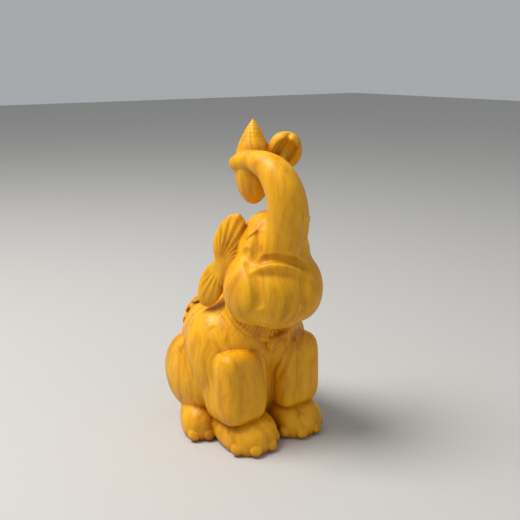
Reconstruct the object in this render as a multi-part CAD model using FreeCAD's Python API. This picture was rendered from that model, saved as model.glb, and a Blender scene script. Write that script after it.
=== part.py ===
import FreeCAD, Part
import math
import os

# Seated elephant carved from one billet of boxwood, trunk curled over a lotus bud.
# Millimetres. +Z up, the elephant looks along -Y, its own left side is +X.
# Origin: on the ground, under the middle of the body.
#
# The real figure is one piece of wood. Each node is one of its carved masses, divided from
# its neighbours along the carver's V-cuts, so that the masses meet face to face.

Vec = FreeCAD.Vector
BOTH_SIDES = (("right", -1), ("left", 1))

# ---- driving dimensions -------------------------------------------------------------------
FIGURE_HEIGHT = 89.0        # ground to the tip of the lotus bud
BODY_HALF_WIDTH = 15.5      # half the width of the trunk of the body
BODY_HALF_DEPTH = 15.0
BODY_BACK = 5.0             # how far the middle of the belly lies behind the origin
NECK_TOP = 42.0

HEAD_CENTRE = Vec(-1.8, -14.5, 50.0)
HEAD_TURN = -22.0           # degrees, towards the elephant's own right
CRANIUM = (9.8, 10.5, 12.0)
CHEEK = (6.8, 8.6, 9.2)
JAW = (7.5, 6.3, 8.2)

LEG_SPACING = 9.4           # sideways distance of a front leg from the middle plane
LEG_HALF = (8.0, 8.0, 10.0)
LEG_ROUNDING = 5.4
FRONT_FOOT = (8.0, 9.8, 6.8)
FRONT_FOOT_SPACING = 8.1
FEET_SHIFT = 1.5            # the front feet stand a little towards the elephant's left
SHOULDER = (7.0, 9.5, 12.5)
THIGH = (7.0, 12.0, 12.3)
HIND_FOOT = (5.6, 8.3, 6.3)
HIND_TOE_OUT = 28.0         # degrees
TOENAIL_RADIUS = 1.35

CORD_RADIUS = 0.8           # raised cord along the lower edge of the collar
COLLAR_HALF = (11.8, 11.2)
COLLAR_CENTRE = Vec(-0.8, -5.4, 37.0)
COLLAR_TILT = 32.0          # degrees, low at the chest and high at the nape
PENDANT_RADIUS = 3.3
CLOTH_RELIEF = 0.7          # how far the saddle cloth stands proud of the back
CLOTH_HALF_WIDTH = 9.5
SCROLL_SIDE = 7.6
BUD_AXIS = (-2.6, -7.2)
BUD_BOTTOM = 67.0
BUD_RADIUS = 4.8
ROUND_END_ANGLES = (35.0, 60.0, 80.0)
SMALLEST_CHIP = 0.4         # cubic millimetres; smaller bits that a cut leaves are dropped


# ---- building blocks ----------------------------------------------------------------------
def turn(shape, tilt, about):
    """Turn a shape by degrees about X, then Y, then Z, through one point."""
    for angle, axis in zip(tilt, (Vec(1, 0, 0), Vec(0, 1, 0), Vec(0, 0, 1))):
        if angle:
            shape.rotate(about, axis, angle)
    return shape


def ball(radius, centre=(0, 0, 0)):
    """Sphere of two half faces, so that no face closes on itself."""
    front = Part.makeSphere(radius, Vec(0, 0, 0), Vec(0, 0, 1), -90, 90, 180)
    back = front.copy()
    back.rotate(Vec(0, 0, 0), Vec(0, 0, 1), 180)
    shape = front.fuse(back)
    shape.translate(Vec(*centre))
    return shape


def egg(centre, half, tilt=(0, 0, 0)):
    """Ellipsoid with half-axes along X, Y and Z, tilted about its own centre.

    The unit ball is turned first, so that neighbouring eggs never share a seam or a pole.
    """
    stretch = FreeCAD.Matrix()
    stretch.A11, stretch.A22, stretch.A33 = half
    shape = ball(1.0)
    shape.rotate(Vec(0, 0, 0), Vec(1, 0.3, 0.2), 70.0 + 7.0 * half[1])
    shape = shape.transformGeometry(stretch)
    shape.translate(Vec(*centre))
    return turn(shape, tilt, Vec(*centre))


def rounded_block(centre, half, rounding, tilt=(0, 0, 0)):
    """Block with all its edges rounded, tilted about its own centre."""
    size = [2.0 * value for value in half]
    shape = Part.makeBox(*size, Vec(*centre) - Vec(*half))
    shape = shape.makeFillet(rounding, shape.Edges)
    return turn(shape, tilt, Vec(*centre))


def two_arc_circle(radius, centre, normal):
    """Circle as a wire of two half arcs."""
    circle = Part.Circle(centre, normal, radius)
    return Part.Wire([Part.Arc(circle, start, start + math.pi).toShape() for start in (0, math.pi)])


def oval_wire(centre, half_x, half_y):
    """Horizontal oval as a wire of two half arcs."""
    stretch = FreeCAD.Matrix()
    stretch.A11, stretch.A22 = half_x, half_y
    oval = two_arc_circle(1.0, Vec(0, 0, 0), Vec(0, 0, 1)).transformGeometry(stretch)
    oval.translate(centre)
    return Part.Wire(oval.Edges)


def limb(stations):
    """Round tapering limb through (x, y, z, radius) stations, rounded off past the last one."""
    points = [Vec(*station[:3]) for station in stations]
    radii = [station[3] for station in stations]
    outward = (points[-1] - points[-2]).normalize()
    last_point, last_radius = points[-1], radii[-1]
    for angle in ROUND_END_ANGLES:
        points.append(last_point + outward * (last_radius * math.sin(math.radians(angle))))
        radii.append(last_radius * math.cos(math.radians(angle)))
    path = Part.BSplineCurve()
    path.interpolate(points)
    sections = []
    for point, radius in zip(points, radii):
        along = path.tangent(path.parameter(point))[0]
        sections.append(two_arc_circle(radius, point, along))
    return Part.makeLoft(sections, True, False)


def stacked_ovals(levels, grow=0.0):
    """Smooth body through horizontal ovals (height, y of centre, half width, half depth)."""
    wires = []
    for height, middle, half_x, half_y in levels:
        wires.append(oval_wire(Vec(0, middle, height), half_x + grow, half_y + grow))
    return Part.makeLoft(wires, True, False)


def ring_cord(centre, half, radius, tilt):
    """Closed round cord along an oval, tilted about X."""
    path = oval_wire(centre, half[0], half[1])
    start = centre + Vec(half[0], 0, 0)
    profile = two_arc_circle(radius, start, Vec(0, 1, 0))
    cord = path.makePipeShell([profile], True, True)
    return turn(cord, (tilt, 0, 0), centre)


def above_ground(shape):
    """Flatten whatever would reach below the ground."""
    ground = Part.makeBox(200, 200, 50, Vec(-100, -100, -50))
    return shape.cut(ground)


def cut_away(shape, neighbours):
    """Take the neighbours out of each solid of a mass, leaving faces that meet theirs."""
    tools = [solid for neighbour in neighbours for solid in neighbour.Solids]
    pieces = []
    for piece in shape.Solids:
        for tool in tools:
            if piece.Solids and piece.BoundBox.intersect(tool.BoundBox):
                piece = piece.cut(tool)
        pieces += [solid for solid in piece.Solids if solid.Volume > SMALLEST_CHIP]
    return pieces[0] if len(pieces) == 1 else Part.makeCompound(pieces)


def head_point(side, forward, up):
    """Point in the turned head's own frame: to its left, forward and up from its centre."""
    turned = math.radians(HEAD_TURN)
    x = side * math.cos(turned) + forward * math.sin(turned)
    y = side * math.sin(turned) - forward * math.cos(turned)
    return HEAD_CENTRE + Vec(x, y, up)


# ---- body ---------------------------------------------------------------------------------
def body_levels():
    """Height, middle y, half width and half depth of the body, from the ground up."""
    wide, deep, back = BODY_HALF_WIDTH, BODY_HALF_DEPTH, BODY_BACK
    return (
        (0.0, back, 0.62 * wide, 0.62 * deep),
        (4.0, back, 0.84 * wide, 0.84 * deep),
        (10.0, back, 0.97 * wide, 0.97 * deep),
        (18.0, back - 0.2, wide, deep),
        (26.0, back - 2.0, 0.94 * wide, 0.97 * deep),
        (33.0, back - 5.0, 0.80 * wide, 0.84 * deep),
        (38.0, back - 8.5, 0.65 * wide, 0.69 * deep),
        (NECK_TOP, back - 11.5, 0.54 * wide, 0.56 * deep),
    )


def make_shoulder(side):
    return egg((side * 11.3, -0.5, 25.0), SHOULDER, (-10, 0, 0))


def make_front_leg(side):
    inset = 0.2 if side < 0 else -0.2
    return rounded_block((side * (LEG_SPACING + inset), -7.2, 18.6), LEG_HALF, LEG_ROUNDING, (-3, 0, 0))


def front_foot_centre(side):
    return Vec(FEET_SHIFT + side * FRONT_FOOT_SPACING, -8.3, 5.0)


def make_front_foot(side):
    return above_ground(egg(front_foot_centre(side), FRONT_FOOT))


def make_thigh(side):
    return egg((side * 12.6, 8.3, 17.2), THIGH, (28, 0, 0))


def hind_foot_centre(side):
    return Vec(side * 12.8, 5.2, 4.2)


def make_hind_foot(side):
    return above_ground(egg(hind_foot_centre(side), HIND_FOOT, (0, 0, side * HIND_TOE_OUT)))


def make_toenails(centre, foot, toe_out, angles):
    """Round toenails set in the front edge of a foot, just above the ground."""
    height = TOENAIL_RADIUS + 0.5
    shrink = math.sqrt(1.0 - ((height - centre.z) / foot[2]) ** 2)
    nails = []
    for angle in angles:
        out = math.radians(angle)
        x = foot[0] * shrink * math.sin(out)
        y = -foot[1] * shrink * math.cos(out)
        nail = Part.makeSphere(TOENAIL_RADIUS, Vec(centre.x + x, centre.y + y, height))
        nail.rotate(centre, Vec(0, 0, 1), toe_out)
        nails.append(nail)
    return Part.makeCompound(nails)


# ---- head ---------------------------------------------------------------------------------
def make_head():
    turned = (0, 0, HEAD_TURN)
    mass = egg(head_point(0.5, -2.0, 4.0), CRANIUM, turned)
    for _, side in BOTH_SIDES:
        mass = mass.fuse(egg(head_point(side * 6.3, 1.0, -4.0), CHEEK, turned))
    mass = mass.fuse(egg(head_point(0.0, 4.3, -5.5), JAW, turned))
    mouth = egg(head_point(0.0, 9.6, 4.6), (6.6, 3.6, 3.4), turned)
    return mass.cut(mouth)


def make_trunk():
    """Trunk from the face, up, and back over the bud to its rounded tip."""
    return limb((
        (-0.4, -17.5, 58.0, 6.4),
        (-1.5, -20.0, 64.2, 5.6),
        (-2.4, -21.0, 68.8, 5.1),
        (-3.1, -20.4, 72.6, 4.8),
        (-3.7, -18.4, 75.8, 4.3),
        (-4.4, -15.2, 77.9, 3.5),
        (-5.2, -11.2, 78.7, 2.7),
        (-6.0, -7.6, 78.6, 2.3),
        (-6.2, -5.2, 77.7, 2.2),
    ))


def make_ear(upper, lower, turned):
    """Two-lobed ear: a tall lobe above a rounder hanging one."""
    top = egg(upper, (1.6, 4.4, 6.8), (8, 0, turned))
    bottom = egg(lower, (1.7, 4.6, 6.4), (-12, 0, turned))
    waist = [(a + b) / 2.0 for a, b in zip(upper, lower)]
    bridge = egg(waist, (1.5, 3.4, 4.0), (0, 0, turned))
    return top.fuse(bridge).fuse(bottom)


def make_eye(side):
    return egg(head_point(side * 8.4, 4.0, 9.0), (1.3, 0.9, 0.6), (0, 0, HEAD_TURN + side * 55.0))


# ---- lotus --------------------------------------------------------------------------------
def make_bud():
    """Pointed bud, round in plan, standing upright on its own axis."""
    height = FIGURE_HEIGHT - BUD_BOTTOM
    outline = (
        (0.0, 0.20), (0.03, 0.48), (0.10, 0.74), (0.22, 0.93), (0.40, 1.0),
        (0.58, 0.94), (0.74, 0.74), (0.88, 0.40), (1.0, 0.04),
    )
    wires = []
    for part, width in outline:
        centre = Vec(BUD_AXIS[0], BUD_AXIS[1], BUD_BOTTOM + height * part)
        wires.append(two_arc_circle(BUD_RADIUS * width, centre, Vec(0, 0, 1)))
    return Part.makeLoft(wires, True, False)


def make_leaf():
    """Cupped lotus leaf with a thick rim, standing on the trunk beside the bud."""
    centre = Vec(3.2, -13.0, 81.0)
    facing = (12, 0, HEAD_TURN)
    outer = egg(centre, (4.4, 2.9, 5.0), facing)
    hollow = egg(centre + Vec(-1.2, -2.9, 0.4), (3.4, 2.2, 4.0), facing)
    stem = limb(((3.0, -12.6, 79.5, 1.9), (1.2, -13.4, 77.6, 2.1), (-1.2, -14.4, 76.6, 2.2)))
    return outer.cut(hollow).fuse(stem)


# ---- collar and saddle --------------------------------------------------------------------
def make_collar_cord():
    return ring_cord(COLLAR_CENTRE, COLLAR_HALF, CORD_RADIUS, COLLAR_TILT)


def make_collar_band():
    """Sloping band between the cord and the jaw, round the neck."""
    low = oval_wire(COLLAR_CENTRE + Vec(0, 0, -0.4), COLLAR_HALF[0] + 0.2, COLLAR_HALF[1] + 0.2)
    high = oval_wire(COLLAR_CENTRE + Vec(0, -0.6, 4.6), COLLAR_HALF[0] - 2.0, COLLAR_HALF[1] - 2.0)
    band = turn(Part.makeLoft([low, high], True, True), (COLLAR_TILT, 0, 0), COLLAR_CENTRE)
    return band.cut(stacked_ovals(body_levels()))


def make_pendant():
    """Round medallion with a raised rim, hanging from the cord on the chest."""
    centre = Vec(0.2, -14.4, 29.8)
    disc = Part.makeCylinder(PENDANT_RADIUS, 1.8, centre - Vec(0, 0, 0.9), Vec(0, 0, 1))
    recess = Part.makeCylinder(PENDANT_RADIUS - 0.7, 0.6, centre + Vec(0, 0, 0.55), Vec(0, 0, 1))
    button = Part.makeCylinder(1.3, 0.5, centre + Vec(0, 0, 0.4), Vec(0, 0, 1))
    medal = disc.cut(recess).fuse(button)
    return turn(medal, (75, 0, 0), centre)


def make_saddle_cloth(skin):
    """Cloth in relief over the back, lying on the body's skin."""
    over = stacked_ovals(body_levels(), CLOTH_RELIEF)
    window = Part.makeBox(2 * CLOTH_HALF_WIDTH, 40, 24, Vec(-CLOTH_HALF_WIDTH, 4.5, 14.0))
    return over.common(window).cut(skin)


def back_point(height, sideways):
    """Point on the back's skin and the direction that it faces, by its height and X."""
    rows = body_levels()
    for low, high in zip(rows[:-1], rows[1:]):
        if low[0] <= height <= high[0]:
            part = (height - low[0]) / (high[0] - low[0])
            middle, half_x, half_y = [a + part * (b - a) for a, b in zip(low[1:], high[1:])]
            slope = (high[1] + high[3] - low[1] - low[3]) / (high[0] - low[0])
            y = middle + half_y * math.sqrt(1.0 - (sideways / half_x) ** 2)
            facing = Vec(sideways / half_x ** 2, (y - middle) / half_y ** 2, 0)
            facing.normalize()
            facing.z = -slope
            facing.normalize()
            return Vec(sideways, y, height), facing
    raise ValueError("height is outside the body")


def make_scrolls():
    """Curled cloud scrolls along both side edges of the cloth."""
    scrolls = []
    for _, side in BOTH_SIDES:
        for height in (25.0, 28.8, 32.6, 36.2):
            point, facing = back_point(height, side * SCROLL_SIDE)
            scrolls.append(Part.makeTorus(1.5, 0.6, point + facing * 0.5, facing))
    return Part.makeCompound(scrolls)


def make_fringe():
    """Short tassels under the lower edge of the cloth."""
    tassels = []
    for step in range(-4, 5):
        top, facing = back_point(14.2, step * 2.0)
        low, _ = back_point(11.0, step * 2.0)
        middle = (top + low) * 0.5 + facing * 0.5
        tassels.append(egg(middle, (0.8, 0.8, 1.9)))
    return Part.makeCompound(tassels)


def make_tail():
    """Tail down the rump, and its tuft curled towards the elephant's right."""
    dock = egg((0.1, 19.8, 10.4), (1.4, 1.6, 5.8))
    tuft = egg((-3.4, 17.4, 3.3), (4.0, 1.8, 1.9), (0, 0, 34))
    return Part.makeCompound([dock, tuft.cut(dock)])


# ---- assembly -----------------------------------------------------------------------------
def build_head(nodes):
    """Head, trunk, eyes, ears and the lotus; returns the uncut masses that reach the body."""
    head = make_head()
    trunk = make_trunk()
    bud = make_bud()
    eyes = [make_eye(-1), make_eye(1)]
    ears = [
        make_ear((-11.2, -6.0, 57.6), (-12.6, 0.2, 44.6), 33),
        make_ear((10.2, -9.5, 57.4), (12.6, -3.0, 44.6), -20),
    ]
    nodes["head"] = cut_away(head, [trunk] + eyes)
    nodes["trunk"] = trunk
    nodes["eye_right"], nodes["eye_left"] = [cut_away(eye, [trunk]) for eye in eyes]
    nodes["ear_right"], nodes["ear_left"] = [cut_away(ear, [head]) for ear in ears]
    nodes["lotus_bud"] = cut_away(bud, [trunk])
    nodes["lotus_leaf"] = cut_away(make_leaf(), [trunk, bud])
    return [head] + ears


def build_limbs(nodes):
    """Legs, feet, toenails and shoulders; returns the uncut masses."""
    masses = []
    for name, side in BOTH_SIDES:
        foot = make_front_foot(side)
        leg = make_front_leg(side)
        shoulder = make_shoulder(side)
        thigh = make_thigh(side)
        hind_foot = make_hind_foot(side)
        front_nails = make_toenails(front_foot_centre(side), FRONT_FOOT, 0.0, (-45, -15, 15, 45))
        hind_nails = make_toenails(hind_foot_centre(side), HIND_FOOT, side * HIND_TOE_OUT, (-38, 0, 38))
        nodes["front_leg_" + name] = leg
        nodes["front_foot_" + name] = cut_away(foot, [leg, front_nails, hind_nails])
        nodes["front_toenails_" + name] = front_nails
        nodes["shoulder_" + name] = cut_away(shoulder, [leg])
        nodes["hind_leg_" + name] = cut_away(thigh, [leg, shoulder, foot])
        nodes["hind_foot_" + name] = cut_away(hind_foot, [hind_nails, thigh, leg, foot])
        nodes["hind_toenails_" + name] = hind_nails
        masses += [foot, leg, shoulder, thigh, hind_foot]
    return masses


def build_torso(nodes, head, limbs):
    """Body, and the collar, pendant, saddle and tail carved on its skin."""
    skin = above_ground(stacked_ovals(body_levels()))
    pendant = make_pendant()
    cord = make_collar_cord()
    tail = make_tail()
    scrolls = make_scrolls()
    fringe = make_fringe()
    nodes["pendant"] = cut_away(pendant, [skin])
    nodes["collar_cord"] = cut_away(cord, [skin, pendant] + head)
    nodes["collar_band"] = cut_away(make_collar_band(), [cord, pendant] + head)
    nodes["tail"] = cut_away(tail, [skin] + limbs)
    nodes["saddle_scrolls"] = cut_away(scrolls, [skin] + limbs)
    nodes["saddle_fringe"] = cut_away(fringe, [skin, tail] + limbs)
    nodes["saddle_cloth"] = cut_away(make_saddle_cloth(skin), limbs + [tail, fringe, scrolls])
    nodes["torso"] = cut_away(skin, limbs + head)


def build():
    nodes = {}
    head = build_head(nodes)
    limbs = build_limbs(nodes)
    build_torso(nodes, head, limbs)
    return nodes


def main():
    os.makedirs("parts", exist_ok=True)
    for name, shape in build().items():
        shape.exportStep("parts/" + name + ".step")
        print(name, "solids", len(shape.Solids), "valid", shape.isValid(), "volume", round(shape.Volume, 1))


if __name__ == "__main__":
    main()
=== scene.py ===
import math

import bpy
import numpy as np
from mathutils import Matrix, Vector


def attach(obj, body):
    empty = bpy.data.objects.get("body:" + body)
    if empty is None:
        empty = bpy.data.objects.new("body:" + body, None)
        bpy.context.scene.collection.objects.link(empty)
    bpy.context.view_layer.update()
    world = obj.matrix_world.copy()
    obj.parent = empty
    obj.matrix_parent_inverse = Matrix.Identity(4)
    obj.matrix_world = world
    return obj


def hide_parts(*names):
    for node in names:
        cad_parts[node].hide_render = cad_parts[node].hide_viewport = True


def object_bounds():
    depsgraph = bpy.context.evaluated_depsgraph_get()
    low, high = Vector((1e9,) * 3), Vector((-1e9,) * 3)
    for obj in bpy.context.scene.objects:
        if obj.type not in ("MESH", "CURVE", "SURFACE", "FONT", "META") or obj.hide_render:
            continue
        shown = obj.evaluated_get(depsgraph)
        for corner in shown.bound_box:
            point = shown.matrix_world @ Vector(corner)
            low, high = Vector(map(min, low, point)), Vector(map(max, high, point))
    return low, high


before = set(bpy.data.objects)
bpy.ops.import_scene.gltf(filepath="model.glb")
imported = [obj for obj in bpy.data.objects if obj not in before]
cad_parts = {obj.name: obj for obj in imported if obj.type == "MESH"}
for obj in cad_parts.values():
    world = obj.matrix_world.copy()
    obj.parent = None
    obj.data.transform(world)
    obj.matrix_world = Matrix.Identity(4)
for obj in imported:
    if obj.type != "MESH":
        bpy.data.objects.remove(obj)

CAD_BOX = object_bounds()

# The figure is sculpted as a field of distances, in millimetres of a figure 89 mm tall, negative
# inside the wood. Every piece is one mass of the field, cut off where a neighbour begins, so
# that the pieces meet face to face. +Z is up, the elephant faces -Y, and its left is +X.
FIGURE_HEIGHT = 89.0
MM = (CAD_BOX[1].z - CAD_BOX[0].z) / FIGURE_HEIGHT      # metres per millimetre of the figure
STEP = 0.34                      # grid step of the sculpture
FAR = 6.0                                               # distance given to what is far away
REACH = 1.6                                             # how far a mass is felt outside its box
OUTSIDE = -1                                            # label of grid points in the open air


# ---- fields -------------------------------------------------------------------------------
def turned(tilt):
    """Rotation by degrees about X, then Y, then Z."""
    matrix = np.eye(3)
    for axis, angle in enumerate(tilt):
        c, s = math.cos(math.radians(angle)), math.sin(math.radians(angle))
        u, v = (axis + 1) % 3, (axis + 2) % 3
        one = np.eye(3)
        one[u, u], one[u, v], one[v, u], one[v, v] = c, -s, s, c
        matrix = one @ matrix
    return matrix


def soft_min(a, b, blend):
    """Union of two fields with a fillet about as wide as blend."""
    if blend <= 0:
        return np.minimum(a, b)
    h = np.clip(0.5 + 0.5 * (b - a) / blend, 0, 1)
    return b + (a - b) * h - blend * h * (1 - h)


def soft_max(a, b, blend):
    """Common part of two fields with a rounded edge."""
    return -soft_min(-a, -b, blend)


class Form:
    """A field with the box that holds its solid."""

    def __init__(self, field, low, high):
        self.field = field
        self.low = np.array(low, float)
        self.high = np.array(high, float)

    def near(self, points, reach):
        """Numbers of the points that lie in the box, or within reach of it."""
        inside = (points > self.low - reach) & (points < self.high + reach)
        return np.flatnonzero(inside.all(1))


def egg(centre, half, tilt=(0, 0, 0), power=2.0, taper=0.0):
    """Ellipsoid; a rounded block where power is above 2; wider at its top by taper."""
    centre, half, axes = np.array(centre, float), np.array(half, float), turned(tilt)

    def field(points):
        q = (points - centre) @ axes
        if taper:
            q[:, :2] /= 1 + taper * np.clip(q[:, 2:] / half[2], -1, 1)
        q = np.abs(q) / half + 1e-6
        size = (q ** power).sum(1) ** (1 / power)
        slope = np.sqrt((((q / size[:, None]) ** (power - 1) / half) ** 2).sum(1))
        return (size - 1) / slope

    spread = np.abs(axes) @ half if power > 2 else np.sqrt((axes ** 2) @ half ** 2)
    return Form(field, centre - spread, centre + spread)


def smooth_path(stations, steps=5):
    """Catmull-Rom curve through stations; every column is smoothed alike."""
    p = np.array(stations, float)
    p = np.vstack([2 * p[0] - p[1], p, 2 * p[-1] - p[-2]])
    rows = []
    for a, b, c, d in zip(p[:-3], p[1:-2], p[2:-1], p[3:]):
        for t in np.arange(steps) / steps:
            cubic = (3 * b - a - 3 * c + d) * t ** 3
            rows.append((2 * b + (c - a) * t + (2 * a - 5 * b + 4 * c - d) * t * t + cubic) / 2)
    rows.append(p[-2])
    return np.array(rows)


def along(points, a, b):
    """How far along the stretch from a to b each point lies, 0 to 1, and its distance to it."""
    run = b - a
    offset = points - a
    part = np.clip(offset @ run / (run @ run + 1e-12), 0, 1)
    return part, np.sqrt(((offset - part[:, None] * run) ** 2).sum(1))


def joined(forms, blend):
    """Several forms grown together."""
    def field(points):
        value = np.full(len(points), FAR)
        for form in forms:
            near = form.near(points, REACH + blend)
            value[near] = soft_min(value[near], form.field(points[near]), blend)
        return value

    return Form(field, np.min([f.low for f in forms], 0), np.max([f.high for f in forms], 0))


def stretch(start, end):
    """Straight tapering piece of a limb between two (x, y, z, radius) stations."""
    def field(points):
        part, away = along(points, start[:3], end[:3])
        return away - (start[3] + (end[3] - start[3]) * part)

    low = np.minimum(start[:3] - start[3], end[:3] - end[3])
    high = np.maximum(start[:3] + start[3], end[:3] + end[3])
    return Form(field, low, high)


def limb(stations, steps=6):
    """Tapering round limb through (x, y, z, radius) stations."""
    path = smooth_path(stations, steps)
    return joined([stretch(a, b) for a, b in zip(path[:-1], path[1:])], 0)


def cord(points, radius, steps=4):
    """Round cord of one thickness."""
    return limb([tuple(point) + (radius,) for point in points], steps)


def without(form, cutter, edge):
    """A form with another taken out of it."""
    return Form(lambda points: soft_max(form.field(points), -cutter.field(points), edge),
                form.low, form.high)


def side_name(side):
    """The elephant's own right is -1, its left is 1."""
    return "right" if side < 0 else "left"


# ---- the masses of the figure -------------------------------------------------------------
HEAD_CENTRE = np.array((-1.8, -14.5, 50.0))
HEAD_TURN = -22.0                       # degrees about Z
CRANIUM_CENTRE = (0.5, -2.0, 4.0)       # in the head's own frame
FRONT_LEG_X = {-1: -9.2, 1: 9.4}
FRONT_FOOT = (7.9, 9.9, 5.9)            # half sizes
HIND_FOOT = (5.6, 8.3, 6.2)
HIND_TOE_OUT = 28                       # degrees that each hind foot turns outwards
NAIL_ANGLES = (-50, -17, 15, 47)        # degrees round the front edge of a foot
NAIL_HEIGHT = 2.2
NAIL = (1.75, 1.0, 1.75)                # half sizes
BUD_AXIS = (-2.6, -7.2)                 # x and y
LEAF_CENTRE = np.array((3.2, -13.0, 81.0))
EAR_LEAN = 26                           # degrees that the ears lean forward at the top
EAR_RIBS = 34
EARS = {                                # centre of the upper lobe, lower lobe and waist; facing
    -1: ((-10.2, -7.0, 59.0), (-12.0, -1.0, 45.2), (-10.4, -4.5, 52.4), 33),
    1: ((9.6, -10.6, 59.0), (12.0, -4.2, 45.6), (10.4, -8.2, 52.4), -45),
}


def head_point(side, forward, up):
    """Point in the turned head's own frame: to its left, forward and up from its centre."""
    return HEAD_CENTRE + turned((0, 0, HEAD_TURN)) @ np.array((side, -forward, up), float)


def body_form():
    belly = egg((0, 5.0, 17.2), (15.5, 15.0, 19.0))
    back = egg((0, 6.6, 26.0), (15.0, 13.8, 14.0))
    chest = egg((0, -1.0, 30.0), (13.3, 12.6, 12.0))
    neck = limb(((0, -3.0, 30.0, 9.5), (-0.6, -6.0, 35.0, 9.0), (-1.2, -9.0, 40.0, 8.4)), 2)
    return joined((belly, back, chest, neck), 4.0)


def shoulder_form(side):
    return egg((side * 11.2, -0.4, 25.0), (7.0, 9.4, 12.4), (-10, 0, 0))


def front_leg_form(side):
    centre = (FRONT_LEG_X[side], -7.2, 18.2)
    return egg(centre, (7.2, 7.5, 10.6), (-4, 0, 0), power=4.6, taper=0.03)


def front_foot_centre(side):
    return np.array((1.5 + side * 8.1, -8.3, 3.9))


def hind_foot_centre(side):
    return np.array((side * 12.8, 5.2, 4.0))


def front_foot_form(side):
    return egg(front_foot_centre(side), FRONT_FOOT, (9, 0, 0), power=2.4)


def thigh_form(side):
    return egg((side * 12.4, 8.3, 16.9), (6.9, 11.6, 12.0), (28, 0, 0))


def hind_foot_form(side):
    return egg(hind_foot_centre(side), HIND_FOOT, (0, 0, side * HIND_TOE_OUT), power=2.4)


def skin_from(form, start, direction):
    """Where a form's surface is met, going straight out from a point inside it."""
    near, far = 0.0, 30.0
    for _ in range(30):
        middle = (near + far) / 2
        inside = form.field((start + direction * middle)[None])[0] < 0
        near, far = (middle, far) if inside else (near, middle)
    return start + direction * near


def toenails_form(foot, centre, toe_out, angles):
    """Round toenails on the front edge of a foot."""
    nails = []
    for angle in angles:
        turn = math.radians(toe_out + angle)
        outward = np.array((math.sin(turn), -math.cos(turn), 0))
        edge = skin_from(foot, np.array((centre[0], centre[1], NAIL_HEIGHT)), outward)
        nails.append(egg(edge - 0.2 * outward, NAIL, (-10, 0, toe_out + angle)))
    return joined(nails, 0)


def head_form():
    turn = (0, 0, HEAD_TURN)
    cranium = egg(head_point(*CRANIUM_CENTRE), (9.8, 10.5, 12.0), turn)
    right = egg(head_point(-6.3, 1.0, -4.0), (6.9, 8.6, 9.2), turn)
    left = egg(head_point(6.3, 1.0, -4.0), (6.6, 8.6, 9.2), turn)
    jaw = egg(head_point(0.0, 4.3, -5.0), (8.0, 6.5, 8.6), turn, power=2.3)
    lip = cord(lip_line(-0.9), 1.2)
    return joined((cranium, right, left, jaw, lip), 1.3)


def lip_line(raised):
    """Arch of the lower lip, seen from the front, moved up by an amount."""
    arch = ((-10.2, -18.0, 53.4), (-8.3, -19.9, 54.6), (-6.2, -21.7, 54.9),
            (-3.0, -23.2, 54.2), (0.6, -23.6, 52.4))
    return [np.array(point) + (0, 0.2, raised) for point in arch]


def trunk_form():
    """Trunk from the face, up, and back over the bud to its rounded tip."""
    return limb((
        (-2.0, -16.0, 56.0, 6.5),
        (-1.5, -18.2, 60.0, 6.1),
        (-1.6, -20.0, 64.4, 5.5),
        (-2.4, -21.0, 68.8, 5.05),
        (-3.1, -20.4, 72.6, 4.75),
        (-3.7, -18.4, 75.8, 4.3),
        (-4.4, -15.2, 77.9, 3.5),
        (-5.2, -11.2, 78.7, 2.7),
        (-6.0, -7.6, 78.6, 2.3),
        (-6.2, -5.4, 77.7, 2.2),
    ), 6)


def ear_form(side):
    """Two-lobed ear: ribs fan out from its waist, and it is rooted in the side of the head."""
    upper, lower, waist, facing = EARS[side]
    waist = np.array(waist, float)
    axes = turned((0, 0, facing))
    top = egg(upper, (1.7, 3.8, 7.0), (EAR_LEAN, 0, facing))
    bottom = egg(lower, (1.6, 3.5, 6.8), (EAR_LEAN * 0.8, 0, facing))
    middle = egg(waist, (1.8, 2.6, 3.4), (EAR_LEAN, 0, facing))
    root = egg(waist - axes[:, 1] * 2.6, (2.6, 3.2, 7.0), (EAR_LEAN, 0, facing))
    plain = joined((top, bottom, middle, root), 1.0)

    def field(points):
        q = (points - waist) @ axes
        ribs = np.cos(np.arctan2(q[:, 1], q[:, 2]) * EAR_RIBS)
        off_waist = np.clip((np.hypot(q[:, 1], q[:, 2]) - 3.5) / 2.5, 0, 1)
        off_rim = np.clip(np.abs(q[:, 0]) / 1.1 - 0.3, 0, 1)
        return plain.field(points) - 0.15 * ribs * (off_waist * off_rim)

    return Form(field, plain.low - 0.3, plain.high + 0.3)


def eye_form(side):
    """Closed eyelid on the face, beside the root of the trunk."""
    face = joined((head_form(), trunk_form()), 0.5)
    centre = head_point(*CRANIUM_CENTRE)
    lid = []
    for across, forward, up, radius in (
        (7.4, 1.6, 9.6, 0.3),
        (6.6, 2.3, 10.9, 0.55),
        (5.3, 3.0, 11.7, 0.55),
        (4.2, 3.6, 11.6, 0.3),
    ):
        aim = head_point(side * across + 0.9, forward, up) - centre
        lid.append((*skin_from(face, centre, aim / np.linalg.norm(aim)), radius))
    return limb(lid, 4)


def bud_form():
    """Pointed bud: an egg with a drawn-out tip, and petals that overlap round it."""
    x, y = BUD_AXIS
    plain = joined((egg((x, y, 76.0), (4.8, 4.8, 9.0)),
                    limb(((x, y, 80.5, 4.1), (x, y, 84.6, 2.5), (x, y, 88.5, 0.35)), 4)), 1.0)

    def field(points):
        angle = np.arctan2(points[:, 1] - y, points[:, 0] - x)
        height = np.clip((points[:, 2] - 67.0) / 22.0, 0, 1)
        petal = ((angle / (2 * math.pi) * 3 + 0.8 * height) % 1.0) - 0.5
        fold = np.exp(-((petal / 0.05) ** 2)) * np.clip(height * 4, 0, 1) * (1 - height ** 4)
        return plain.field(points) + 0.22 * fold - 0.12 * petal * fold

    return Form(field, plain.low, plain.high)


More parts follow.
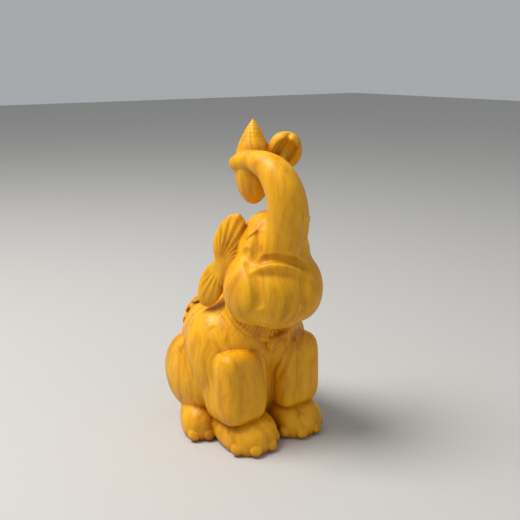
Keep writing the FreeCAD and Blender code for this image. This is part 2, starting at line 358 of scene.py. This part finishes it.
def leaf_form():
    """Cupped lotus leaf: thick rolled rim, hollow face with two folds, and a short stem."""
    tilt = (14, 0, -32)
    axes = turned(tilt)
    outer = egg(LEAF_CENTRE, (4.3, 2.8, 4.9), tilt, power=2.2)
    hollow = egg(LEAF_CENTRE - axes[:, 1] * 2.7, (3.4, 2.0, 4.0), tilt)
    stem = limb(((2.4, -12.0, 79.0, 2.0), (0.6, -12.8, 77.2, 2.2), (-1.6, -13.6, 76.4, 2.4)), 3)

    def folds(points):
        q = (points - LEAF_CENTRE) @ axes
        front = np.clip(-q[:, 1] * 1.5, 0, 1)
        lines = 0.0
        for offset in (-1.5, 1.5):
            away = q[:, 0] * 0.8 - q[:, 2] * 0.5 - offset
            lines = lines + np.exp(-((away / 0.55) ** 2))
        return 0.55 * front * lines

    cup = without(outer, hollow, 0.5)
    solid = joined((cup, stem), 1.0)
    return Form(lambda points: solid.field(points) + folds(points), solid.low, solid.high)


def tail_form():
    """Tail down the rump, its tuft curled towards the elephant's right."""
    return limb(((0.0, 19.4, 15.0, 1.3), (0.2, 20.4, 10.0, 1.4), (-0.6, 19.2, 5.5, 1.3),
                 (-3.0, 17.4, 3.4, 1.7), (-6.0, 15.6, 2.4, 2.0)), 5)


# ---- collar, pendant and saddle: reliefs on the body's skin -------------------------------
BODY = body_form()
COLLAR_CENTRE = np.array((-0.8, -6.4, 39.0))
COLLAR_AXES = turned((40, 0, 0))
COLLAR_FLUTES = 64
COLLAR_HEIGHT = 5.5
PENDANT_CENTRE = np.array((-0.6, -15.5, 30.6))
PENDANT_RADIUS = 3.4
CLOTH_HALF_WIDTH = 9.3
CLOTH_HEM = 15.0                        # height of the cloth's lower edge
SCROLL_HEIGHTS = (25.0, 28.8, 32.6, 36.2)
SCROLL_SIDE = 7.6                       # distance of the scrolls from the middle of the back
SCROLL_STEPS = 12
RELIEF = 0.7                            # how far the cloth and the collar stand out
SHELL = 1.2                             # how deep they reach into the body


def collar_points(count):
    """Points round the neck where the collar's tilted plane meets the skin."""
    points = []
    for angle in np.linspace(0, 2 * math.pi, count + 1):
        direction = COLLAR_AXES @ np.array((math.cos(angle), math.sin(angle), 0))
        points.append(skin_from(BODY, COLLAR_CENTRE, direction))
    return points


def collar_cord_form():
    return cord(collar_points(28), 0.95, 2)


def collar_band_form():
    """Fluted band above the cord, a little proud of the skin."""
    def field(points):
        q = (points - COLLAR_CENTRE) @ COLLAR_AXES
        flutes = np.cos(np.arctan2(q[:, 1], q[:, 0]) * COLLAR_FLUTES)
        body = BODY.field(points)
        shell = np.maximum(body - RELIEF - 0.16 * flutes, -body - SHELL)
        return soft_max(soft_max(shell, -q[:, 2], 0.4), q[:, 2] - COLLAR_HEIGHT, 0.6)

    reach = np.array((15.0, 15.0, 14.0))
    return Form(field, COLLAR_CENTRE - reach, COLLAR_CENTRE + reach)


def pendant_form():
    """Medallion with a thick rim and a ring inside it, lying on the chest."""
    axes = turned((-68, 0, 4))

    def field(points):
        q = (points - PENDANT_CENTRE) @ axes
        r = np.hypot(q[:, 0], q[:, 1])
        rim = 0.55 * np.exp(-(((r - 2.95) / 0.42) ** 2))
        ring = 0.45 * np.exp(-(((r - 1.45) / 0.4) ** 2))
        return soft_max(r - PENDANT_RADIUS, np.abs(q[:, 2]) - 0.75 - rim - ring, 0.4)

    reach = PENDANT_RADIUS + 0.6
    return Form(field, PENDANT_CENTRE - reach, PENDANT_CENTRE + reach)


def cloth_form():
    """Saddle cloth in low relief over the back, with a scalloped lower edge."""
    def field(points):
        body = BODY.field(points)
        shell = np.maximum(body - RELIEF, -body - SHELL)
        edge = np.abs(points[:, 0]) - CLOTH_HALF_WIDTH + 0.35 * np.cos(points[:, 2] * 1.55)
        hem = CLOTH_HEM + 0.5 * np.cos(points[:, 0] * 2.0) - points[:, 2]
        front = 2.0 - points[:, 1]
        return soft_max(soft_max(soft_max(shell, edge, 0.3), hem, 0.3), front, 0.3)

    return Form(field, (-CLOTH_HALF_WIDTH - 1, 2.0, 13.5), (CLOTH_HALF_WIDTH + 1, 22.0, 44.0))


def back_point(height, sideways):
    """Point on the back's skin at a height and a distance to the side."""
    return skin_from(BODY, np.array((sideways, 3.0, height)), np.array((0.0, 1.0, 0.0)))


def outward_from_back(point):
    """Direction straight out of the back's skin."""
    shifts = np.eye(3) * 0.05
    slope = BODY.field(point + shifts) - BODY.field(point - shifts)
    return slope / np.linalg.norm(slope)


def scrolls_form():
    """Curled cloud scrolls: spirals of a raised cord, in a row down each edge."""
    coils = []
    for side in (-1, 1):
        for height in SCROLL_HEIGHTS:
            stations = []
            for step in range(SCROLL_STEPS + 1):
                turn = step / SCROLL_STEPS * 2.6 * math.pi
                radius = 0.35 + 1.45 * step / SCROLL_STEPS
                x = side * (SCROLL_SIDE + radius * math.cos(turn))
                point = back_point(height + radius * math.sin(turn), x)
                stations.append((*(point + 0.85 * outward_from_back(point)), 0.45))
            coils.append(limb(stations, 2))
    return joined(coils, 0)


def fringe_form():
    """Row of short tassels under the cloth's lower edge."""
    tassels = []
    for step in range(-4, 5):
        x = step * 2.0
        top, low = back_point(CLOTH_HEM, x), back_point(11.2, x)
        ends = ((x, top[1] + 0.35, CLOTH_HEM, 0.6), (x, low[1] + 0.4, 11.4, 0.95))
        tassels.append(limb(ends, 2))
    return joined(tassels, 0)


class Mass:
    """One carved mass: the CAD node that it stands for, its form, and its blend with the rest."""

    def __init__(self, node, form, blend):
        self.node, self.form, self.blend = node, form, blend


def all_masses():
    """The masses in the order in which they are grown together."""
    masses = [Mass("torso", BODY, 0.0)]
    for side in (-1, 1):
        name = side_name(side)
        front_foot, hind_foot = front_foot_form(side), hind_foot_form(side)
        front_nails = toenails_form(front_foot, front_foot_centre(side), 0, NAIL_ANGLES)
        hind_turn = side * HIND_TOE_OUT
        hind_nails = toenails_form(hind_foot, hind_foot_centre(side), hind_turn, NAIL_ANGLES[1:])
        masses += [
            Mass("shoulder_" + name, shoulder_form(side), 3.0),
            Mass("front_leg_" + name, front_leg_form(side), 0.25),
            Mass("front_foot_" + name, front_foot, 0.25),
            Mass("hind_leg_" + name, thigh_form(side), 0.35),
            Mass("hind_foot_" + name, hind_foot, 0.25),
            Mass("front_toenails_" + name, front_nails, 0),
            Mass("hind_toenails_" + name, hind_nails, 0),
        ]
    masses += [
        Mass("saddle_cloth", cloth_form(), 0.1),
        Mass("saddle_scrolls", scrolls_form(), 0.1),
        Mass("saddle_fringe", fringe_form(), 0.15),
        Mass("tail", tail_form(), 0.5),
        Mass("collar_band", collar_band_form(), 0.1),
        Mass("collar_cord", collar_cord_form(), 0.1),
        Mass("pendant", pendant_form(), 0.1),
        Mass("head", head_form(), 0.3),
        Mass("trunk", trunk_form(), 1.0),
        Mass("ear_right", ear_form(-1), 0.25),
        Mass("ear_left", ear_form(1), 0.25),
        Mass("eye_right", eye_form(-1), 0.3),
        Mass("eye_left", eye_form(1), 0.3),
        Mass("lotus_bud", bud_form(), 0.15),
        Mass("lotus_leaf", leaf_form(), 0.3),
    ]
    return masses


# ---- lines cut into the finished surface --------------------------------------------------
def head_line(*places):
    """Line through places given in the head's own frame."""
    return [head_point(*place) for place in places]


MOUTH = lip_line(0.9)
RIGHT_HOLLOW = head_line((-3.3, 3.6, 15.0), (-4.7, 4.8, 11.0), (-5.9, 5.6, 7.4), (-7.0, 5.6, 5.6))
LEFT_HOLLOW = head_line((6.0, 9.2, 14.4), (6.7, 8.2, 10.6), (7.0, 7.4, 6.6))
RIGHT_CHEEK = head_line((-8.2, 3.4, 6.4), (-7.6, 5.2, 4.4), (-6.8, 7.8, 0.9), (-6.4, 9.0, -5.0))
LEFT_CHEEK = head_line((5.8, 7.3, 2.7), (5.5, 9.1, -1.2), (5.2, 9.6, -4.9))
LEFT_CHEST = (
    (5.6, -13.3, 31.9),
    (7.5, -11.9, 28.6),
    (5.3, -13.3, 26.1),
    (4.0, -13.7, 23.6),
    (2.1, -12.1, 18.1),
)
RIGHT_CHEST = ((-6.9, -12.3, 28.2), (-4.7, -13.7, 25.3), (-3.8, -14.3, 20.0))
RIGHT_SHOULDER = ((-14.4, -5.0, 34.0), (-13.6, -8.1, 30.5), (-13.8, -9.2, 28.1))
LEFT_SHOULDER = ((14.3, -8.2, 29.2), (9.3, -12.3, 27.7), (7.6, -13.6, 26.5))

# Points near the surface, half width, and height, which is negative for a groove.
CARVED_LINES = (
    (MOUTH, 1.45, -1.5),
    (RIGHT_HOLLOW, 2.2, -1.4),
    (LEFT_HOLLOW, 2.1, -1.3),
    (RIGHT_CHEEK, 1.9, -0.95),
    (LEFT_CHEEK, 1.6, -0.9),
    (LEFT_CHEST, 1.2, -0.45),
    (RIGHT_CHEST, 1.2, -0.35),
    (RIGHT_SHOULDER, 1.5, -0.35),
    (LEFT_SHOULDER, 1.3, -0.4),
)


class CarvedLine:
    """A soft groove along a smooth path."""

    def __init__(self, points, width, height):
        self.path = smooth_path(points, 5)
        self.width, self.height = width, height

    def settle(self):
        """Move the path onto the surface."""
        for _ in range(6):
            self.path -= 0.8 * skin(self.path)[:, None] * slope_of_skin(self.path, 0.05)

    def lift(self, points):
        """How much the surface rises at each point."""
        rise = np.zeros(len(points))
        box = Form(None, self.path.min(0), self.path.max(0))
        near = box.near(points, self.width)
        if len(near):
            away = np.full(len(near), FAR)
            for start, end in zip(self.path[:-1], self.path[1:]):
                away = np.minimum(away, along(points[near], start, end)[1])
            rise[near] = self.height * np.clip(1 - (away / self.width) ** 2, 0, 1) ** 2
        return rise


MASSES = all_masses()
LINES = []              # none yet, while they are moved onto the uncut surface


def measure(points):
    """The figure's field, the mass that each point belongs to, and by how much it does."""
    surface, first, second = (np.full(len(points), FAR) for _ in range(3))
    owner = np.zeros(len(points), int)
    for index, mass in enumerate(MASSES):
        near = mass.form.near(points, mass.blend + REACH)
        value = mass.form.field(points[near])
        surface[near] = soft_min(surface[near], value, mass.blend)
        leads = value < first[near]
        second[near] = np.where(leads, first[near], np.minimum(second[near], value))
        owner[near] = np.where(leads, index, owner[near])
        first[near] = np.minimum(first[near], value)
    for line in LINES:
        surface -= line.lift(points)
    return np.maximum(surface, -points[:, 2]), owner, second - first


def skin(points):
    """The field of the whole figure."""
    return measure(points)[0]


def slope_of_skin(points, step):
    """Direction out of the wood, scaled by how fast the field grows that way."""
    slope = np.empty_like(points)
    for axis in range(3):
        shift = np.zeros(3)
        shift[axis] = step
        slope[:, axis] = (skin(points + shift) - skin(points - shift)) / (2 * step)
    return slope


def settled_lines():
    """The carved lines, moved onto the surface."""
    lines = [CarvedLine(*line) for line in CARVED_LINES]
    for line in lines:
        line.settle()
    return lines


LINES = settled_lines()


# ---- from field to meshes -----------------------------------------------------------------
class Net:
    """One net of quads for the whole figure: its skin, and the walls between its masses.

    Each grid cell that they cross has one vertex, shared by every piece that meets there, so
    neighbouring pieces fit exactly.
    """

    def __init__(self):
        self.measure_grid()
        self.total = np.zeros((self.cells.prod(), 3))
        self.weight = np.zeros(self.cells.prod())
        self.quads, self.inner, self.outer = [], [], []
        for axis in range(3):
            self.cross(axis)
        self.quads = np.vstack(self.quads)
        self.inner, self.outer = np.hstack(self.inner), np.hstack(self.outer)
        self.place_vertices()

    def measure_grid(self):
        """Measure the figure at every grid point, and label each point with its mass."""
        low = np.min([mass.form.low for mass in MASSES], 0) - 4 * STEP
        low[2] = -2.5 * STEP
        high = np.max([mass.form.high for mass in MASSES], 0) + 4 * STEP
        counts = np.ceil((high - low) / STEP).astype(int) + 1
        steps = [np.arange(count) * STEP for count in counts]
        grid = np.stack(np.meshgrid(*steps, indexing="ij"), -1).reshape(-1, 3) + low
        surface, owner, lead = measure(grid)
        self.low = low
        self.surface = surface.reshape(counts)
        self.lead = lead.reshape(counts)
        self.label = np.where(surface < 0, owner, OUTSIDE).reshape(counts)
        self.cells = counts - 1

    def cross(self, axis):
        """Add a quad across each grid edge of one direction that joins two labels."""
        u, v = (axis + 1) % 3, (axis + 2) % 3

        def ends(values):
            return (np.take(values, range(self.cells[axis]), axis),
                    np.take(values, range(1, self.cells[axis] + 1), axis))

        one, two = ends(self.label)
        edge = np.argwhere(one != two)
        within = (edge[:, (u, v)] > 0) & (edge[:, (u, v)] < self.cells[[u, v]])
        edge = edge[within.all(1)]
        at = tuple(edge.T)
        one, two = one[at], two[at]
        on_skin = (one == OUTSIDE) | (two == OUTSIDE)
        surface, lead = ends(self.surface), ends(self.lead)
        start = np.abs(np.where(on_skin, surface[0][at], lead[0][at]))
        end = np.abs(np.where(on_skin, surface[1][at], lead[1][at]))
        place = edge.astype(float)
        place[:, axis] += start / (start + end + 1e-9)
        share = np.where(on_skin, 1.0, 1e-4)      # where both cross a cell, its vertex is on the skin
        ring = []
        for du, dv in ((1, 1), (0, 1), (0, 0), (1, 0)):
            cell = edge.copy()
            cell[:, u] -= du
            cell[:, v] -= dv
            index = np.ravel_multi_index(cell.T, self.cells)
            ring.append(index)
            self.weight += np.bincount(index, share, len(self.weight))
            for k in range(3):
                self.total[:, k] += np.bincount(index, place[:, k] * share, len(self.weight))
        self.quads.append(np.array(ring).T)
        self.inner.append(one)
        self.outer.append(two)

    def place_vertices(self):
        """Number the vertices, and move those of the skin exactly onto it."""
        used, faces = np.unique(self.quads, return_inverse=True)
        self.quads = faces.reshape(self.quads.shape)
        self.points = self.low + self.total[used] / self.weight[used][:, None] * STEP
        on_skin = np.flatnonzero(self.weight[used] > 0.5)
        points = self.points[on_skin]
        for _ in range(3):
            slope = slope_of_skin(points, 0.06)
            move = skin(points) / np.maximum((slope ** 2).sum(1), 0.4)
            points -= slope * np.clip(move, -0.4 * STEP, 0.4 * STEP)[:, None]
        points[:, 2] = np.maximum(points[:, 2], 0)
        self.points[on_skin] = points
        slope = slope_of_skin(points, 0.14)
        self.normals = np.zeros_like(self.points)
        self.normals[on_skin] = slope / (np.linalg.norm(slope, axis=1, keepdims=True) + 1e-9)

    def mesh(self, index, name):
        """Closed mesh of one mass, in metres, shaded by the slope of the figure's skin."""
        inner, outer = self.inner == index, self.outer == index
        quads = np.vstack([self.quads[inner], self.quads[outer][:, ::-1]])
        on_skin = np.hstack([self.outer[inner], self.inner[outer]]) == OUTSIDE
        used, faces = np.unique(quads, return_inverse=True)
        mesh = bpy.data.meshes.new(name)
        mesh.from_pydata((self.points[used] * MM).tolist(), [], faces.reshape(quads.shape).tolist())
        corners = self.points[quads]
        flat = np.cross(corners[:, 2] - corners[:, 0], corners[:, 3] - corners[:, 1])
        flat /= np.linalg.norm(flat, axis=1, keepdims=True) + 1e-12
        normals = np.where(on_skin[:, None, None], self.normals[quads], flat[:, None])
        mesh.polygons.foreach_set("use_smooth", [True] * len(mesh.polygons))
        mesh.normals_split_custom_set(normals.reshape(-1, 3).tolist())
        return mesh


# ---- material -----------------------------------------------------------------------------
WHITE = (1.0, 1.0, 1.0)


def node_of(tree, kind, **values):
    """A shader node with some of its properties or inputs set."""
    node = tree.nodes.new(kind)
    for name, value in values.items():
        if name in node.inputs:
            node.inputs[name].default_value = value
        else:
            setattr(node, name, value)
    return node


def ramp(tree, factor, stops):
    """Colour ramp through (position, colour) stops."""
    node = tree.nodes.new("ShaderNodeValToRGB")
    elements = node.color_ramp.elements
    while len(elements) < len(stops):
        elements.new(0.5)
    for element, (position, colour) in zip(elements, stops):
        element.position = position
        element.color = (*colour, 1)
    tree.links.new(factor, node.inputs["Fac"])
    return node.outputs["Color"]


def tinted(tree, amount, colour, tint):
    """Colour multiplied by a tint, by a given amount."""
    node = node_of(tree, "ShaderNodeMix", data_type="RGBA", blend_type="MULTIPLY")
    node.inputs[0].default_value = amount
    tree.links.new(colour, node.inputs[6])
    tree.links.new(tint, node.inputs[7])
    return node.outputs[2]


def boxwood():
    """Oiled boxwood: fine upright grain in curved bands, pores, and painted shade darkening the
    creases.
    """
    material = bpy.data.materials.new("boxwood")
    material.use_nodes = True
    tree = material.node_tree
    link = tree.links.new
    shader = tree.nodes["Principled BSDF"]
    place = tree.nodes.new("ShaderNodeTexCoord").outputs["Object"]

    slow = node_of(tree, "ShaderNodeTexNoise", Scale=60.0, Detail=2.0)
    link(place, slow.inputs["Vector"])
    bent = node_of(tree, "ShaderNodeVectorMath", operation="MULTIPLY_ADD")
    link(slow.outputs["Color"], bent.inputs[0])
    bent.inputs[1].default_value = (0.010, 0.010, 0.004)
    link(place, bent.inputs[2])

    bands_at = node_of(tree, "ShaderNodeMapping")
    bands_at.inputs["Scale"].default_value = (1.0, 1.0, 0.16)
    bands_at.inputs["Rotation"].default_value = (0.12, 0.2, 0.5)
    link(bent.outputs[0], bands_at.inputs["Vector"])
    bands = node_of(tree, "ShaderNodeTexNoise", Scale=330.0, Detail=5.0, Roughness=0.6)
    link(bands_at.outputs[0], bands.inputs["Vector"])

    fibre_at = node_of(tree, "ShaderNodeMapping")
    fibre_at.inputs["Scale"].default_value = (1.0, 1.0, 0.05)
    fibre_at.inputs["Rotation"].default_value = (0.12, 0.2, 0.0)
    link(bent.outputs[0], fibre_at.inputs["Vector"])
    fibre = node_of(tree, "ShaderNodeTexNoise", Scale=1900.0, Detail=3.0, Roughness=0.65)
    link(fibre_at.outputs[0], fibre.inputs["Vector"])

    patches = node_of(tree, "ShaderNodeTexNoise", Scale=45.0, Detail=2.0)
    link(place, patches.inputs["Vector"])

    wood = ramp(tree, bands.outputs["Fac"], (
        (0.30, (0.58, 0.235, 0.003)),
        (0.44, (0.75, 0.345, 0.005)),
        (0.56, (0.84, 0.415, 0.007)),
        (0.70, (0.90, 0.470, 0.012)),
    ))
    fine = ramp(tree, fibre.outputs["Fac"], ((0.35, (0.84, 0.80, 0.72)), (0.60, WHITE)))
    wood = tinted(tree, 0.6, wood, fine)
    warm = ramp(tree, patches.outputs["Fac"], ((0.35, (0.94, 0.86, 0.75)), (0.65, WHITE)))
    wood = tinted(tree, 0.7, wood, warm)

    # Painted shade: ambient occlusion darkens the wood colour in creases and hollows, where shade
    # falls.
    crease_shade_ao = node_of(tree, "ShaderNodeAmbientOcclusion", Distance=0.0035, samples=8)
    painted_crease_shade = ramp(tree, crease_shade_ao.outputs["AO"], ((0.35, (0.52, 0.28, 0.10)), (0.85, WHITE)))
    wood = tinted(tree, 0.75, wood, painted_crease_shade)
    link(wood, shader.inputs["Base Color"])

    gloss = node_of(tree, "ShaderNodeMapRange")
    link(bands.outputs["Fac"], gloss.inputs["Value"])
    gloss.inputs["To Min"].default_value = 0.50
    gloss.inputs["To Max"].default_value = 0.38
    link(gloss.outputs[0], shader.inputs["Roughness"])
    bump = node_of(tree, "ShaderNodeBump", Strength=0.12, Distance=0.0003)
    link(fibre.outputs["Fac"], bump.inputs["Height"])
    link(bump.outputs["Normal"], shader.inputs["Normal"])
    shader.inputs["Specular IOR Level"].default_value = 0.3
    shader.inputs["Subsurface Weight"].default_value = 0.06
    shader.inputs["Subsurface Radius"].default_value = (1.0, 0.45, 0.1)
    shader.inputs["Subsurface Scale"].default_value = 0.0012
    return material


# ---- pieces -------------------------------------------------------------------------------
def make_pieces():
    """One carved piece in place of each CAD node, all of the same wood."""
    wood = boxwood()
    net = Net()
    for index, mass in enumerate(MASSES):
        piece = bpy.data.objects.new("carved_" + mass.node, net.mesh(index, mass.node))
        bpy.context.scene.collection.objects.link(piece)
        piece.data.materials.append(wood)
        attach(piece, "root")
        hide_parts(mass.node)


# ---- floor, lights and camera -------------------------------------------------------------
def pale_floor():
    """Plain matt floor, 3.2 m square."""
    half = 1.6
    mesh = bpy.data.meshes.new("floor")
    corners = [(-half, -half, 0), (half, -half, 0), (half, half, 0), (-half, half, 0)]
    mesh.from_pydata(corners, [], [(0, 1, 2, 3)])
    floor = bpy.data.objects.new("floor", mesh)
    bpy.context.scene.collection.objects.link(floor)
    material = bpy.data.materials.new("pale_floor")
    material.use_nodes = True
    shader = material.node_tree.nodes["Principled BSDF"]
    shader.inputs["Base Color"].default_value = (0.52, 0.51, 0.49, 1)
    shader.inputs["Roughness"].default_value = 0.9
    floor.data.materials.append(material)


VIEW_AZIMUTH = math.radians(-37.0)
VIEW_PITCH = math.radians(15.5)
TO_RIGHT = Vector((math.cos(VIEW_AZIMUTH), math.sin(VIEW_AZIMUTH), 0))
INTO_VIEW = Vector((-math.sin(VIEW_AZIMUTH), math.cos(VIEW_AZIMUTH), 0))
UP = Vector((0, 0, 1))


def from_viewer(right, toward, up):
    """Place given in millimetres to the viewer's right, toward the viewer, and up."""
    return (TO_RIGHT * right - INTO_VIEW * toward + UP * up) * MM


def soft_light(name, place, aim, size, watts, colour):
    """Round area light turned towards a point."""
    lamp = bpy.data.lights.new(name, "AREA")
    lamp.shape = "DISK"
    lamp.size = size
    lamp.energy = watts
    lamp.color = colour
    light = bpy.data.objects.new(name, lamp)
    bpy.context.scene.collection.objects.link(light)
    light.location = place
    light.rotation_euler = (aim - place).to_track_quat("-Z", "Y").to_euler()


def studio():
    """Window light from above and the left, a weak fill, and a pale sky."""
    pale_floor()
    middle = from_viewer(0, 0, 45)
    soft_light("window", from_viewer(-250, 70, 500), middle, 0.30, 3.4, (1.0, 0.98, 0.95))
    soft_light("fill", from_viewer(420, 220, 200), middle, 0.5, 0.12, (0.95, 0.97, 1.0))
    world = bpy.data.worlds.new("studio")
    bpy.context.scene.world = world
    world.use_nodes = True
    background = world.node_tree.nodes["Background"]
    background.inputs["Color"].default_value = (0.60, 0.62, 0.64, 1)
    background.inputs["Strength"].default_value = 0.64
    bpy.context.scene.view_settings.view_transform = "Standard"


def camera():
    """Looks down a little from in front of the elephant's right side."""
    lens_pixels, frame_pixels = 720.0, 520.0
    data = bpy.data.cameras.new("camera")
    data.sensor_width = 36.0
    data.lens = data.sensor_width * lens_pixels / frame_pixels
    data.clip_start, data.clip_end = 0.01, 20
    eye = bpy.data.objects.new("camera", data)
    bpy.context.scene.collection.objects.link(eye)
    eye.location = from_viewer(4.0, 192, 103)
    ahead = INTO_VIEW * math.cos(VIEW_PITCH) - UP * math.sin(VIEW_PITCH)
    eye.rotation_euler = ahead.to_track_quat("-Z", "Y").to_euler()
    bpy.context.scene.camera = eye


make_pieces()
studio()
camera()
